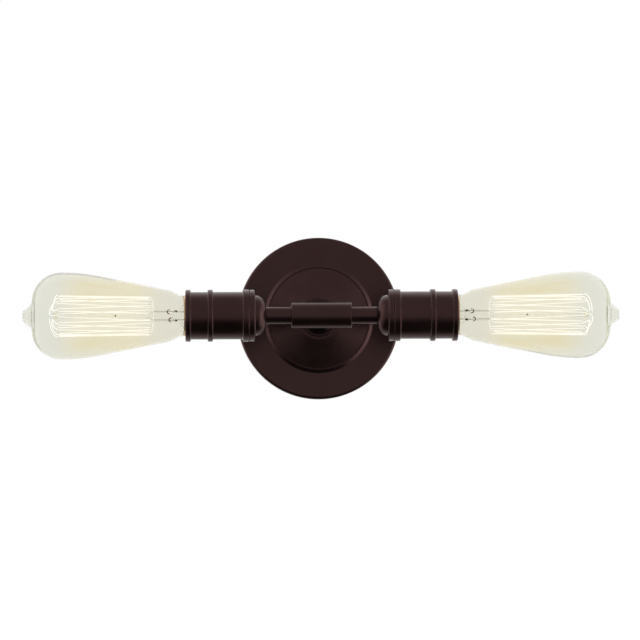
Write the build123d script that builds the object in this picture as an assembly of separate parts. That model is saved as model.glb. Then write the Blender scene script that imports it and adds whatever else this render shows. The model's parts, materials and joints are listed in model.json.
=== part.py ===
from build123d import *
from math import cos, radians, sin, sqrt
import os

# Two-light wall sconce: a round spun canopy on a mounting strap, a stem that
# carries a cross hub, and an arm, a socket and a filament bulb on each side.
# Millimetres. The wall is the plane y = 0, +Y runs into it and +Z is up.
# The origin is the centre of the canopy's back, and the bulbs lie along X.

# Clearances
fit_gap = 0.05
part_gap = 0.3
overrun = 1.0

# Marks a bevelled corner of an outline
flat = "flat"

# Layout
projection = 75.0
arm_reach = 18.5

# Half-inch tube of the stem and both arms, and the threaded nipples in it
tube_r = 6.35
tube_wall = 1.3
tube_r_in = tube_r - tube_wall
nipple_r = tube_r_in - fit_gap
nipple_wall = 1.5
nipple_bore_r = nipple_r - nipple_wall
nipple_grip = 12.0
nipple_tail = 1.9

# Nipple nuts and washers
nut_wall = 2.1
nut_height = 3.5
nut_flat_r = nipple_r + nut_wall
hex_sides = 6
hex_half_turn = 180 / hex_sides
nut_corner_r = nut_flat_r / cos(radians(hex_half_turn))
washer_r = 8.6
washer_thick = 0.8
washer_teeth = 8
tooth_slot = 1.2
tooth_depth = 1.6

# Hub
hub_r = 9.5
hub_length = 44.0
hub_chamfer = 0.7
arm_seat = 12.0
seat_land = 0.3
stem_seat = tube_r_in + seat_land

# Canopy studs, their heads behind the strap and their nuts
stud_r = 2.1
stud_head_r = 3.8
stud_head = 2.6
stud_proud = 4.8
locknut_height = 3.2
locknut_flat_r = 3.6
cap_nut_r = 5.0
cap_nut_height = 8.0
cap_nut_round = 3.6
cap_nut_bore = 5.6

# Mounting strap, a cross with two arms stepped off the wall for the studs
strap_thick = 2.0
strap_width = 16.0
strap_edge_gap = 3.3
strap_end = 9.15
head_wall_gap = 1.4
strap_rise = stud_head + head_wall_gap
strap_flat = 22.0
strap_joggle = 4.0
strap_hole_r = 5.2
slot_length = 14.3
slot_width = 4.8

# Seat ring round the foot of the stem, with a cove from its lip to its neck
collar_neck = 1.9
collar_cove = 5.2
collar_step = 0.5
collar_lip = 1.4
collar_land = 1.6
collar_neck_r = tube_r + fit_gap + collar_neck
collar_r = collar_neck_r + collar_cove + collar_step

# Canopy, one spun sheet: rim, flat flange, raised bead, cone and crown
canopy_sheet = 1.0
canopy_r = 60.3
rim_round = 2.2
flange_width = 20.3
bead_width = 3.6
bead_rise = 1.3
bead_groove = 0.6
crown_margin = 1.2
crown_r = collar_r + crown_margin
crown_rise = 9.0
locknut_gap = 1.8
strap_top = strap_rise + strap_thick
flange_height = strap_top + locknut_height + locknut_gap + canopy_sheet
crown_height = flange_height + crown_rise
bead_r = canopy_r - flange_width
stud_place = (bead_r + bead_width / 2 + canopy_r - rim_round) / 2
strap_half = canopy_r - canopy_sheet - strap_edge_gap
slot_pitch = 2 * (strap_half - strap_end) - slot_length

# Leads: insulated fixture wire, two in each arm and four in the stem
lead_r = 1.0
lead_sides = 6
lead_slack = 0.2
lead_place = (nipple_bore_r - lead_r - lead_slack) / sqrt(2)
hub_bend_r = 6.0
cap_bend_r = 4.0
wire_nut_r = 5.5
wire_nut_sides = 8
wire_nut_taper = 5.0
wire_nut_length = 16.0
wire_nut_room = 7.2
wire_nut_start = bead_r - bead_width / 2 - wire_nut_room - wire_nut_length
nut_depth = 8.0
lead_height = strap_thick + part_gap + wire_nut_r
stack_height = crown_height - canopy_sheet - 2 * washer_thick - nut_height
nipple_end = stack_height - nipple_tail
wall_bend_r = nipple_end - lead_height - lead_slack

# Ground terminal, its lead and its screw on the strap
terminal_barrel = 6.0
terminal_wall = 0.6
terminal_neck = 2.6
terminal_step = 1.2
terminal_start = washer_r + terminal_neck
ground_height = stack_height + nut_height / 2
ground_screw_share = 0.25
ground_screw_place = strap_flat + strap_joggle + ground_screw_share * (
    stud_place - strap_flat - strap_joggle
)
ground_screw_r = 3.6
ground_screw_height = 2.4
ground_shank_r = 2.3
ground_bend_r = 3.0
ground_run = 3.5

# Socket shell, worked out from the bulb's screw base outwards. The rolled
# threads are plain bands here, as thick as the thread is deep.
base_r = 13.1
thread_depth = 0.7
thread_gap = 0.3
screw_shell_wall = 0.4
liner_gap = 0.6
liner_wall = 0.6
liner_play = 0.2
shell_wall = 1.45
screw_crest_r = base_r + thread_gap
screw_shell_r = screw_crest_r + thread_depth + screw_shell_wall
liner_r_in = screw_shell_r + liner_gap
liner_r = liner_r_in + liner_wall
shell_bore_r = liner_r + liner_play
shell_r = shell_bore_r + shell_wall
shell_length = 46.9
ring_rise = 1.65
ring_r = shell_r + ring_rise
ring_edge = 0.3
rear_ring = 5.2
rear_ring_edge = 1.0
middle_ring = 4.0
middle_ring_place = 26.7
mouth_ring = 4.1
cap_thread_share = 0.35
cap_thread_r = shell_bore_r + cap_thread_share * shell_wall

# Socket cap: end face, rounded shoulder, rim and the spigot in the shell
cap_wall = 1.6
cap_face_r = 7.3
cap_shoulder = 7.4
cap_neck = 0.6
cap_rim = 4.0
cap_dome_r = cap_face_r + cap_shoulder
cap_length = cap_shoulder + cap_neck + cap_rim
cap_inner_r = cap_dome_r - cap_wall
cap_inner_shoulder = cap_inner_r - nut_corner_r - part_gap
cap_rim_inset = 0.2
cap_rim_edge = 0.9
spigot_length = 4.0
spigot_wall = 1.5
spigot_r = cap_thread_r - fit_gap

# Lampholder: flange, boss, screw shell, centre contact and terminal screws
holder_flange = 2.5
holder_boss_r = 12.2
holder_play = 0.1
contact_gap = 0.3
contact_rise = 1.3
contact_width = 5.0
contact_sheet = 0.5
contact_reach = 5.4
screw_shell_eye_r = 7.6
screw_shell_inset = 2.9
rivet_r = 1.4
rivet_head_r = 2.2
rivet_head = 0.5
terminal_place = 10.6
terminal_head_r = 2.7
terminal_head = 1.8
terminal_shank_r = 1.5
terminal_shank = 5.0

# Bulb base
base_height = 26.8
skirt_peek = 0.9
base_sheet = 0.4
tip_r = 4.8
tip_height = 1.4
tip_edge = 0.8
insulator_tip_r = 5.8
insulator_r = 10.2
insulator_slope = 3.0
insulator_rim = 1.0
base_foot = 4.6
base_shoulder = 6.2
skirt_r = 13.4
skirt_length = 5.2
skirt_flare = 1.8
skirt_flare_rise = 1.5
skirt_start = base_height - skirt_length

# Bulb glass, from its sealed neck to its drawn tip
glass_wall = 0.9
glass_seat = 4.2
glass_seal_r = skirt_r - base_sheet - fit_gap
neck_r = 15.3
neck_swell = 1.2
neck_length = 3.2
flare_length = 6.7
flare_r = 18.9
neck_round = 4.0
flare_round = 14.0
belly_r = 32.0
cone_length = 65.5
cone_round = 130.0
belly_length = 35.5
shoulder_round = 21.7
pip_r = 9.2
pip_length = 6.9
pip_end_r = 3.1
pip_end_round = 2.6

# Glass stem inside the bulb
stem_seat_depth = 3.4
stem_flange_wall = 0.9
stem_cone_length = 8.5
stem_tube_r = 4.1
stem_tube_length = 5.0
press_width = 8.6
press_thick = 3.6
press_length = 12.5
rod_r = 1.2
button_r = 2.4
button_length = 3.0
bulb_wire = 0.4
lead_in_place = 2.9
lead_in_foot = 1.2
stem_flange_r = glass_seal_r - glass_wall - fit_gap
stem_flange_start = base_height - stem_seat_depth
stem_tube_start = stem_flange_start + stem_cone_length
press_start = stem_tube_start + stem_tube_length
press_end = press_start + press_length

# Filament cage strung between an inner and an outer ring of hooks, narrower at the inner one
cage_r = 14.9
cage_root_r = 13.9
cage_length = 67.2
cage_gap = 1.9
cage_start = press_end + cage_gap
outer_hooks = 9
filament_size = 0.5
hook_hop = 1.8
hook_gap = 0.15
hook_proud = 0.8
hook_straight = 2.4
filament_end_angle = 10.0

# Places along the lamp axis, measured outwards from the stem's centre line
hub_end = hub_length / 2
cap_start = hub_end + arm_reach
cap_joint = cap_start + cap_length
mouth = cap_joint + shell_length
flange_back = cap_joint + spigot_length
flange_front = flange_back + holder_flange
bulb_start = mouth + skirt_peek - base_height
boss_front = bulb_start - contact_gap - contact_rise
screw_shell_end = mouth - screw_shell_inset
cap_nut_seat = cap_start + cap_wall
cap_nipple_end = cap_nut_seat + nut_height + nipple_tail / 2


def bevelled(corner, size, before, after):
    """The two corners that a bevel leaves in place of one."""
    here = Vector(*corner)
    return [here + (Vector(*other[:2]) - here).normalized() * size for other in (before, after)]


def outline(*corners):
    """Closed face from (radius, height) corners.

    A third value rounds a corner, and with flat after it, bevels the corner instead.
    """
    points = []
    rounds = []
    for place, corner in enumerate(corners):
        if corner[-1] is flat:
            before, after = corners[place - 1], corners[(place + 1) % len(corners)]
            points += bevelled(corner[:2], corner[2], before, after)
            rounds += [0, 0]
        else:
            points.append(corner[:2])
            rounds.append(corner[2] if len(corner) > 2 else 0)
    return make_face(FilletPolyline(*points, radius=rounds, close=True))


def turned(*corners):
    """Body of revolution about Z from its half outline."""
    return revolve(Plane.XZ * outline(*corners), Axis.Z)


def tube(radius, bore_r, start, end):
    """Straight tube along Z."""
    return rod(radius, start, end) - rod(bore_r, start - overrun, end + overrun)


def rod(radius, start, end):
    """Plain round bar along Z."""
    return Pos(0, 0, start) * Cylinder(
        radius, end - start, align=(Align.CENTER, Align.CENTER, Align.MIN)
    )


def hex_nut(flat_r, bore_r, start, height):
    """Hexagon nut along Z."""
    blank = extrude(RegularPolygon(flat_r, hex_sides, major_radius=False), height)
    return Pos(0, 0, start) * blank - rod(bore_r, start - overrun, start + height + overrun)


def wire(points, radius, bends):
    """Insulated wire along straight runs joined by arcs."""
    path = FilletPolyline(*points, radius=bends)
    section = Plane(origin=path @ 0, z_dir=path % 0) * RegularPolygon(radius, lead_sides)
    return sweep(section, path=path)


def thin_wire(points, size):
    """Fine square wire with mitred corners."""
    path = Polyline(*points)
    section = Plane(origin=path @ 0, z_dir=path % 0) * Rectangle(size, size)
    return sweep(section, path=path, transition=Transition.RIGHT)


def on_wall(shape):
    """Turns a piece built along +Z from the wall to stand out along -Y."""
    return Plane(origin=(0, 0, 0), x_dir=(1, 0, 0), z_dir=(0, -1, 0)) * shape


def on_light(shape, side):
    """Turns a piece built along +Z from the centre to lie along the lamp axis."""
    return Plane(origin=(0, -projection, 0), x_dir=(0, -1, 0), z_dir=(side, 0, 0)) * shape


def at_studs(shape):
    """The same piece at both canopy studs, as separate solids."""
    return [Pos(x, 0, 0) * shape for x in (-stud_place, stud_place)]


# Wall side


def canopy():
    bead_out = bead_r + bead_width / 2
    bead_in = bead_r - bead_width / 2
    bead_top = flange_height + bead_rise
    cone_foot = flange_height - bead_groove
    hole_r = nipple_r + part_gap
    sheet = canopy_sheet
    dish = turned(
        (canopy_r, 0),
        (canopy_r, flange_height, rim_round),
        (bead_out, flange_height),
        (bead_r + bead_width / 4, bead_top),
        (bead_r - bead_width / 4, bead_top),
        (bead_in, cone_foot),
        (crown_r, crown_height),
        (hole_r, crown_height),
        (hole_r, crown_height - sheet),
        (crown_r, crown_height - sheet),
        (bead_in, cone_foot - sheet),
        (bead_out, flange_height - sheet),
        (canopy_r - sheet, flange_height - sheet, rim_round - sheet, flat),
        (canopy_r - sheet, 0),
    )
    for hole in at_studs(rod(stud_r + part_gap, strap_rise, crown_height)):
        dish -= hole
    return dish


def mounting_strap():
    blank = SlotOverall(2 * strap_half, strap_width)
    upright = extrude(Rot(0, 0, 90) * blank, strap_thick)
    steps = (
        (-strap_half, strap_rise),
        (-strap_flat - strap_joggle, strap_rise),
        (-strap_flat, 0),
        (strap_flat, 0),
        (strap_flat + strap_joggle, strap_rise),
        (strap_half, strap_rise),
    )
    raised = [(x, height + strap_thick) for x, height in reversed(steps)]
    side_view = make_face(Polyline(*steps, *raised, close=True))
    stepped = extrude(Plane.XZ * side_view, strap_width / 2, both=True)
    stepped &= extrude(blank, strap_top)
    strap = upright + stepped
    strap -= rod(strap_hole_r, -overrun, strap_top)
    slot = extrude(Rot(0, 0, 90) * SlotOverall(slot_length, slot_width), strap_top)
    for y in (-slot_pitch / 2, slot_pitch / 2):
        strap -= Pos(0, y, -overrun) * slot
    for hole in at_studs(rod(stud_r + fit_gap, 0, strap_top + overrun)):
        strap -= hole
    strap -= Pos(-ground_screw_place, 0, 0) * rod(ground_shank_r + fit_gap, 0, strap_top + overrun)
    return strap


def canopy_studs():
    stud = turned(
        (0, strap_rise - stud_head),
        (stud_head_r, strap_rise - stud_head),
        (stud_head_r, strap_rise),
        (stud_r, strap_rise),
        (stud_r, flange_height + stud_proud),
        (0, flange_height + stud_proud),
    )
    return at_studs(stud)


def stud_locknuts():
    return at_studs(hex_nut(locknut_flat_r, stud_r + fit_gap, strap_top, locknut_height))


def cap_nuts():
    top = flange_height + cap_nut_height
    bore_r = stud_r + fit_gap
    nut = turned(
        (bore_r, flange_height),
        (cap_nut_r, flange_height),
        (cap_nut_r, top, cap_nut_round),
        (0, top),
        (0, flange_height + cap_nut_bore),
        (bore_r, flange_height + cap_nut_bore),
    )
    return at_studs(nut)


def ground_screw():
    shank = rod(ground_shank_r, strap_rise, strap_top)
    hexagon = RegularPolygon(ground_screw_r, hex_sides, major_radius=False)
    head = extrude(Rot(0, 0, hex_half_turn) * hexagon, ground_screw_height)
    return Pos(-ground_screw_place, 0, 0) * (shank + Pos(0, 0, strap_top) * head)


def ground_terminal():
    """Ring on the nipple with a stepped tongue and a crimped barrel."""
    ring_low = crown_height - canopy_sheet - 2 * washer_thick
    ring = rod(washer_r, ring_low, ring_low + washer_thick)
    tongue_low = ground_height - washer_thick / 2
    steps = (
        (-washer_r + terminal_step, ring_low),
        (-washer_r, ring_low),
        (-terminal_start, tongue_low),
        (-terminal_start - terminal_step, tongue_low),
    )
    upper = [(x, height + washer_thick) for x, height in reversed(steps)]
    side_view = make_face(Polyline(*steps, *upper, close=True))
    tongue = extrude(Plane.XZ * side_view, lead_r, both=True)
    eye = rod(nipple_r + fit_gap, ring_low - overrun, crown_height)
    along = Pos(-terminal_start, 0, ground_height) * Rot(0, -90, 0)
    barrel = along * rod(lead_r + fit_gap + terminal_wall, 0, terminal_barrel)
    bore = along * rod(lead_r + fit_gap, -overrun, terminal_barrel + overrun)
    return ring + tongue - eye + barrel - bore


def ground_lead():
    foot = strap_top + part_gap + lead_r
    screw_edge = ground_screw_place - ground_screw_r - part_gap
    points = [
        (-terminal_start - terminal_step, 0, ground_height),
        (-terminal_start - terminal_barrel - ground_run / 2, 0, ground_height),
        (-screw_edge + ground_run, 0, foot),
        (-screw_edge, 0, foot),
    ]
    return wire(points, lead_r, ground_bend_r)


def wire_nuts():
    """Two insulating twist-on connectors that lie above and below the stem."""
    bore_r = lead_place + lead_r + lead_slack
    grip = RegularPolygon(wire_nut_r, wire_nut_sides)
    cap = Pos(0, 0, wire_nut_start) * extrude(grip, wire_nut_length, taper=wire_nut_taper)
    cap -= rod(bore_r, wire_nut_start - overrun, wire_nut_start + nut_depth + part_gap)
    return [Pos(0, 0, lead_height) * Rot(tilt, 0, 0) * cap for tilt in (-90, 90)]


# Stem


def stem_collar():
    bore_r = tube_r + fit_gap
    lip = crown_height + collar_lip
    top = lip + collar_cove + collar_land
    return turned(
        (bore_r, crown_height),
        (collar_r, crown_height),
        (collar_r, lip),
        (collar_neck_r, lip, collar_cove),
        (collar_neck_r, top),
        (bore_r, top),
    )


def stem():
    return tube(tube_r, tube_r_in, crown_height, projection - stem_seat)


def stem_nipple():
    return tube(nipple_r, nipple_bore_r, nipple_end, crown_height + nipple_grip)


def stem_lockwasher():
    low = crown_height - canopy_sheet - washer_thick
    washer = tube(washer_r, nipple_r + fit_gap, low, low + washer_thick)
    slot = Pos(washer_r, 0, low + washer_thick / 2) * Box(2 * tooth_depth, tooth_slot, 2 * washer_thick)
    for turn in range(washer_teeth):
        washer -= Rot(0, 0, turn * 360 / washer_teeth) * slot
    return washer


def stem_locknut():
    return hex_nut(nut_flat_r, nipple_r + fit_gap, stack_height, nut_height)


def hub():
    body = chamfer(Cylinder(hub_r, hub_length).edges().filter_by(GeomType.CIRCLE), hub_chamfer)
    body -= Cylinder(tube_r_in, hub_length)
    seat = rod(tube_r + fit_gap, hub_end - arm_seat, hub_end + overrun)
    body -= seat
    body -= mirror(seat, Plane.XY)
    side_bore = rod(tube_r + fit_gap, stem_seat, hub_r + overrun)
    side_bore += rod(tube_r_in, 0, hub_r)
    return on_light(body - Rot(0, -90, 0) * side_bore, 1)


# Arms and sockets, each built along +Z from the stem's centre line


def arm():
    return tube(tube_r, tube_r_in, hub_end - arm_seat, cap_start)


def cap_nipple():
    return tube(nipple_r, nipple_bore_r, cap_start - nipple_grip, cap_nipple_end)


def cap_locknut():
    return hex_nut(nut_flat_r, nipple_r + fit_gap, cap_nut_seat, nut_height)


def socket_cap():
    hole_r = nipple_r + fit_gap
    rim_start = cap_joint - cap_rim
    rim_r = ring_r - cap_rim_inset
    spigot_r_in = spigot_r - spigot_wall
    return turned(
        (hole_r, cap_start),
        (cap_dome_r, cap_start, cap_shoulder),
        (cap_dome_r, rim_start),
        (rim_r, rim_start, cap_rim_edge, flat),
        (rim_r, cap_joint, ring_edge, flat),
        (spigot_r, cap_joint),
        (spigot_r, flange_back),
        (spigot_r_in, flange_back),
        (spigot_r_in, rim_start + cap_wall),
        (cap_inner_r, rim_start + cap_wall),
        (cap_inner_r, cap_nut_seat, cap_inner_shoulder, flat),
        (hole_r, cap_nut_seat),
    )


def socket_shell():
    middle = cap_joint + middle_ring_place
    mouth_start = mouth - mouth_ring
    return turned(
        (cap_thread_r, cap_joint),
        (ring_r, cap_joint, ring_edge, flat),
        (ring_r, cap_joint + rear_ring, rear_ring_edge, flat),
        (shell_r, cap_joint + rear_ring),
        (shell_r, middle),
        (ring_r, middle, ring_edge, flat),
        (ring_r, middle + middle_ring, ring_edge, flat),
        (shell_r, middle + middle_ring),
        (shell_r, mouth_start),
        (ring_r, mouth_start, ring_edge, flat),
        (ring_r, mouth, ring_edge, flat),
        (shell_bore_r, mouth),
        (shell_bore_r, flange_front),
        (cap_thread_r, flange_front),
    )


def socket_liner():
    return tube(liner_r, liner_r_in, flange_front, mouth - mouth_ring / 2)


def lampholder():
    flange = rod(cap_thread_r - holder_play, flange_back, flange_front)
    body = flange + rod(holder_boss_r, flange_front, boss_front)
    shank_end = flange_back + terminal_shank + part_gap
    shank_hole = rod(terminal_shank_r + fit_gap, flange_back - overrun, shank_end)
    for y in (-terminal_place, terminal_place):
        body -= Pos(0, y, 0) * shank_hole
    rivet = rod(rivet_r + fit_gap, boss_front - terminal_shank, boss_front + overrun)
    return body - Pos(-contact_reach + rivet_head_r, 0, 0) * rivet


def terminal_screws():
    screw = turned(
        (0, flange_back - terminal_head),
        (terminal_head_r, flange_back - terminal_head),
        (terminal_head_r, flange_back),
        (terminal_shank_r, flange_back),
        (terminal_shank_r, flange_back + terminal_shank),
        (0, flange_back + terminal_shank),
    )
    return [Pos(0, y, 0) * screw for y in (-terminal_place, terminal_place)]


def screw_shell():
    """Rolled brass shell that takes the bulb, on the lampholder's boss."""
    floor = boss_front + screw_shell_wall
    return turned(
        (screw_shell_eye_r, boss_front),
        (screw_shell_r, boss_front),
        (screw_shell_r, screw_shell_end),
        (screw_crest_r, screw_shell_end),
        (screw_crest_r, floor),
        (screw_shell_eye_r, floor),
    )


def centre_contact():
    """Sprung brass tongue, riveted to the boss at its foot."""
    low = boss_front
    high = boss_front + contact_rise
    sheet = contact_sheet
    reach = contact_reach
    top = (
        (-reach, low + sheet),
        (-reach / 3, low + sheet),
        (0, high),
        (reach / 3, high),
        (reach / 3, high - sheet),
        (sheet, high - sheet),
        (-reach / 3 + sheet / 2, low),
        (-reach, low),
    )
    tongue = extrude(Plane.XZ * make_face(Polyline(*top, close=True)), contact_width / 2, both=True)
    foot = Pos(-reach + rivet_head_r, 0, 0)
    rivet = rod(rivet_r, low - terminal_shank + part_gap, low + sheet)
    head = rod(rivet_head_r, low + sheet, low + sheet + rivet_head)
    return tongue + foot * (rivet + head)


# Bulbs, each built along +Z from its centre contact


def bulb_tip():
    return turned((0, 0), (tip_r, 0, tip_edge, flat), (tip_r, tip_height), (0, tip_height))


def bulb_insulator():
    slope_end = tip_height + insulator_slope
    return turned(
        (0, tip_height),
        (insulator_tip_r, tip_height),
        (insulator_r, slope_end),
        (insulator_r, slope_end + insulator_rim),
        (0, slope_end + insulator_rim),
    )


def bulb_base():
    bore_r = base_r - base_sheet
    skirt_bore_r = skirt_r - base_sheet
    flare_start = base_height - skirt_flare
    foot_r = insulator_r + fit_gap
    return turned(
        (foot_r, base_foot),
        (base_r, base_shoulder),
        (base_r, skirt_start),
        (skirt_r, skirt_start),
        (skirt_r, flare_start),
        (skirt_r + skirt_flare_rise, base_height),
        (skirt_bore_r + skirt_flare_rise, base_height),
        (skirt_bore_r, flare_start),
        (skirt_bore_r, skirt_start + base_sheet),
        (bore_r, skirt_start + base_sheet),
        (bore_r, base_shoulder + base_sheet),
        (foot_r, base_foot + base_sheet),
    )


def bulb_glass():
    """Blown glass from the seal in the base to the drawn tip, a little thicker at its ends."""
    foot = base_height - glass_seat
    neck_foot = base_height - neck_swell
    neck_top = base_height + neck_length
    flare_top = neck_top + flare_length
    cone_top = flare_top + cone_length
    crown = cone_top + belly_length
    tip = crown + pip_length
    outside = [
        (glass_seal_r, foot),
        (glass_seal_r, neck_foot),
        (neck_r, neck_foot + 2 * neck_swell),
        (neck_r, neck_top, neck_round),
        (flare_r, flare_top, flare_round),
        (belly_r, cone_top, cone_round),
        (belly_r, crown, shoulder_round),
        (pip_r, crown),
        (pip_end_r, tip, pip_end_round),
        (0, tip),
    ]
    wall = glass_wall
    inside = [
        (0, crown - wall),
        (belly_r - wall, crown - wall, shoulder_round - wall),
        (belly_r - wall, cone_top, cone_round),
        (flare_r - wall, flare_top),
        (neck_r - wall, neck_top),
        (neck_r - wall, neck_foot + 2 * neck_swell),
        (glass_seal_r - wall, neck_foot),
        (glass_seal_r - wall, foot),
    ]
    return turned(*outside, *inside)


def glass_stem():
    """Flared stem, pinched press and long rod, all one piece of glass."""
    wall = stem_flange_wall
    rod_end = cage_start + cage_length + button_length
    flare = turned(
        (stem_flange_r - wall, stem_flange_start),
        (stem_flange_r, stem_flange_start),
        (stem_tube_r, stem_tube_start),
        (stem_tube_r, press_start),
        (0, press_start),
        (0, stem_tube_start + wall),
        (stem_tube_r - wall, stem_tube_start),
    )
    press = Pos(0, 0, press_start) * extrude(Rectangle(press_thick, press_width), press_length)
    stem_glass = flare + press + rod(rod_r, press_end, rod_end)
    stem_glass += rod(button_r, press_end, cage_start + button_length / 2)
    stem_glass += rod(button_r, rod_end - button_length, rod_end)
    bore = rod(bulb_wire, stem_tube_start, press_end + overrun)
    for y in (-lead_in_place, lead_in_place):
        stem_glass -= Pos(0, y, 0) * bore
    return stem_glass


def cage_point(angle, height, radius):
    """Point at an angle from the side away from the room."""
    turn = radians(180 + angle)
    return Vector(radius * cos(turn), radius * sin(turn), height)


def hook_corner(angle, height, radius):
    """The two corners where the filament passes over a hook."""
    turn = radians(180 + angle)
    half = Vector(-sin(turn), cos(turn), 0) * hook_hop / 2
    point = cage_point(angle, height, radius)
    return [point - half, point + half]


def hook_angles():
    """Angles of the outer hooks, and of the inner hooks between them."""
    step = 360 / outer_hooks
    outer = [(k + 0.5) * step for k in range(outer_hooks)]
    inner = [(k + 1) * step for k in range(outer_hooks - 1)]
    return outer, inner


def filament():
    """One unbroken wire that zigzags between the two rings of hooks."""
    outer, inner = hook_angles()
    top = cage_start + cage_length
    points = [cage_point(filament_end_angle, cage_start, cage_root_r)]
    for place, angle in enumerate(outer):
        points += hook_corner(angle, top, cage_r)
        if place < len(inner):
            points += hook_corner(inner[place], cage_start, cage_root_r)
    points.append(cage_point(-filament_end_angle, cage_start, cage_root_r))
    return thin_wire(points, filament_size)


def hook(angle, button_height, hook_height, radius):
    """Support wire from a glass button out past the filament."""
    reach = radius + hook_proud
    return thin_wire(
        [
            cage_point(angle, button_height, button_r + fit_gap),
            cage_point(angle, hook_height, reach - hook_straight),
            cage_point(angle, hook_height, reach),
        ],
        bulb_wire,
    )


def support_wires():
    outer, inner = hook_angles()
    clear = (filament_size + bulb_wire) / 2 + hook_gap
    top = cage_start + cage_length
    wires = [hook(angle, top + button_length / 2, top - clear, cage_r) for angle in outer]
    wires += [hook(angle, cage_start, cage_start + clear, cage_root_r) for angle in inner]
    return wires


def lead_in_wires():
    """Two wires from the base through the press to the filament's ends."""
    turn_height = press_end + bulb_wire + fit_gap
    foot = tip_height + insulator_slope + insulator_rim + lead_in_foot
    wires = []
    for sign in (-1, 1):
        end = cage_point(-sign * filament_end_angle, cage_start, cage_root_r)
        drop = Vector(0, 0, filament_size / 2 + bulb_wire / 2 + hook_gap)
        wires.append(
            thin_wire(
                [(0, sign * lead_in_place, foot), (0, sign * lead_in_place, turn_height), end - drop],
                bulb_wire,
            )
        )
    return wires


# Leads from the sockets' terminals to the wire nuts behind the canopy


def lead(side, up):
    """Fixture wire on one side, above or below the middle of the arm."""
    across = side * lead_place
    level = up * lead_place
    terminal = up * (terminal_place - terminal_head_r - lead_r - part_gap)
    spread = cap_nipple_end + cap_bend_r / 2
    gathered = flange_back - part_gap - cap_bend_r
    points = [
        (side * (flange_back - part_gap), -projection, terminal),
        (side * gathered, -projection, terminal),
        (side * spread, -projection, level),
        (across, -projection, level),
        (across, -lead_height, level),
        (across, -lead_height, up * (wire_nut_start + nut_depth)),
    ]
    return wire(points, lead_r, [cap_bend_r, cap_bend_r, hub_bend_r, wall_bend_r])


# Every node and its shape
wall_pieces = {
    "canopy": canopy,
    "mounting_strap": mounting_strap,
    "canopy_studs": canopy_studs,
    "stud_locknuts": stud_locknuts,
    "cap_nuts": cap_nuts,
    "ground_screw": ground_screw,
    "ground_terminal": ground_terminal,
    "ground_lead": ground_lead,
    "wire_nuts": wire_nuts,
    "stem_collar": stem_collar,
    "stem": stem,
    "stem_nipple": stem_nipple,
    "stem_lockwasher": stem_lockwasher,
    "stem_locknut": stem_locknut,
}
socket_pieces = {
    "arm": arm,
    "cap_nipple": cap_nipple,
    "cap_locknut": cap_locknut,
    "socket_cap": socket_cap,
    "socket_shell": socket_shell,
    "socket_liner": socket_liner,
    "lampholder": lampholder,
    "terminal_screws": terminal_screws,
    "screw_shell": screw_shell,
    "centre_contact": centre_contact,
}
bulb_pieces = {
    "bulb_tip": bulb_tip,
    "bulb_insulator": bulb_insulator,
    "bulb_base": bulb_base,
    "bulb_glass": bulb_glass,
    "glass_stem": glass_stem,
    "support_wires": support_wires,
    "lead_in_wires": lead_in_wires,
    "filament": filament,
}


def placed(shape, place):
    """Puts a piece, or each piece of a group, where it belongs."""
    if isinstance(shape, list):
        return Compound(children=[Part() + place(each) for each in shape])
    return place(shape)


def assembly():
    """Every node of the sconce, by name."""
    nodes = {name: placed(make(), on_wall) for name, make in wall_pieces.items()}
    nodes["hub"] = hub()
    for side, hand in ((-1, "left"), (1, "right")):
        for name, make in socket_pieces.items():
            nodes[f"{name}_{hand}"] = placed(make(), lambda shape: on_light(shape, side))
        for name, make in bulb_pieces.items():
            nodes[f"{name}_{hand}"] = placed(
                make(), lambda shape: on_light(Pos(0, 0, bulb_start) * shape, side)
            )
        nodes[f"black_lead_{hand}"] = lead(side, 1)
        nodes[f"white_lead_{hand}"] = lead(side, -1)
    return nodes


os.makedirs("parts", exist_ok=True)
for name, shape in assembly().items():
    export_step(shape, f"parts/{name}.step")
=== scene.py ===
"""Looks of a two-light wall sconce: bronze canopy, stem and sockets, and two amber filament bulbs."""

import json
from math import acos, ceil, cos, pi, radians, sin, tan

import bpy
from mathutils import Matrix, Quaternion, Vector


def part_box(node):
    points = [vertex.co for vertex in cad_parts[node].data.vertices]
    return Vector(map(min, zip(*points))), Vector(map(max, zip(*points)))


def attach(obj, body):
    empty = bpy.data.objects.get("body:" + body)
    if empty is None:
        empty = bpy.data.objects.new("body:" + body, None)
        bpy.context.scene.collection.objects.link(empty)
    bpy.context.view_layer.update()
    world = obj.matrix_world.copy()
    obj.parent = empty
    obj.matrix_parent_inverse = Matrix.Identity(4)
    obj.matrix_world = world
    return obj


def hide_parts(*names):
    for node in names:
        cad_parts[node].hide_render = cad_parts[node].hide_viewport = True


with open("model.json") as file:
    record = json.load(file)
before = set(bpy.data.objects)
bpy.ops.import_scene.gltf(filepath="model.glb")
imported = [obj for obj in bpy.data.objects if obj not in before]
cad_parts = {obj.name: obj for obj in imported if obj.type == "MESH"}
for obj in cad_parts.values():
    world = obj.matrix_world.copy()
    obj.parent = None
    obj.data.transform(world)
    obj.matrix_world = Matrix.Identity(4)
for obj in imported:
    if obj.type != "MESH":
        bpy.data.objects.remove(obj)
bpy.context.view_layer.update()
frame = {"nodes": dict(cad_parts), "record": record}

mm = 0.001
SIDES = ((-1, "left"), (1, "right"))

# Camera, set from the photograph: how far off it stands and from where it looks
camera_distance = 3000 * mm
camera_azimuth = -1.9
camera_elevation = -1.95
camera_roll = -0.25
metres_per_pixel = 0.73 * mm
image_pixels = 640
hub_pixel_x, hub_pixel_y = 321.5, 315.4

# Sizes that several pieces share, as the part has them
projection = 75 * mm
hub_middle = Vector((0, -projection, 0))
tube_r = 6.35 * mm
tube_wall = 1.3 * mm
fit_gap = 0.05 * mm
nipple_r = 5.0 * mm
lead_r = 1.0 * mm
base_sheet = 0.4 * mm
sheet_round = 0.15 * mm

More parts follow.
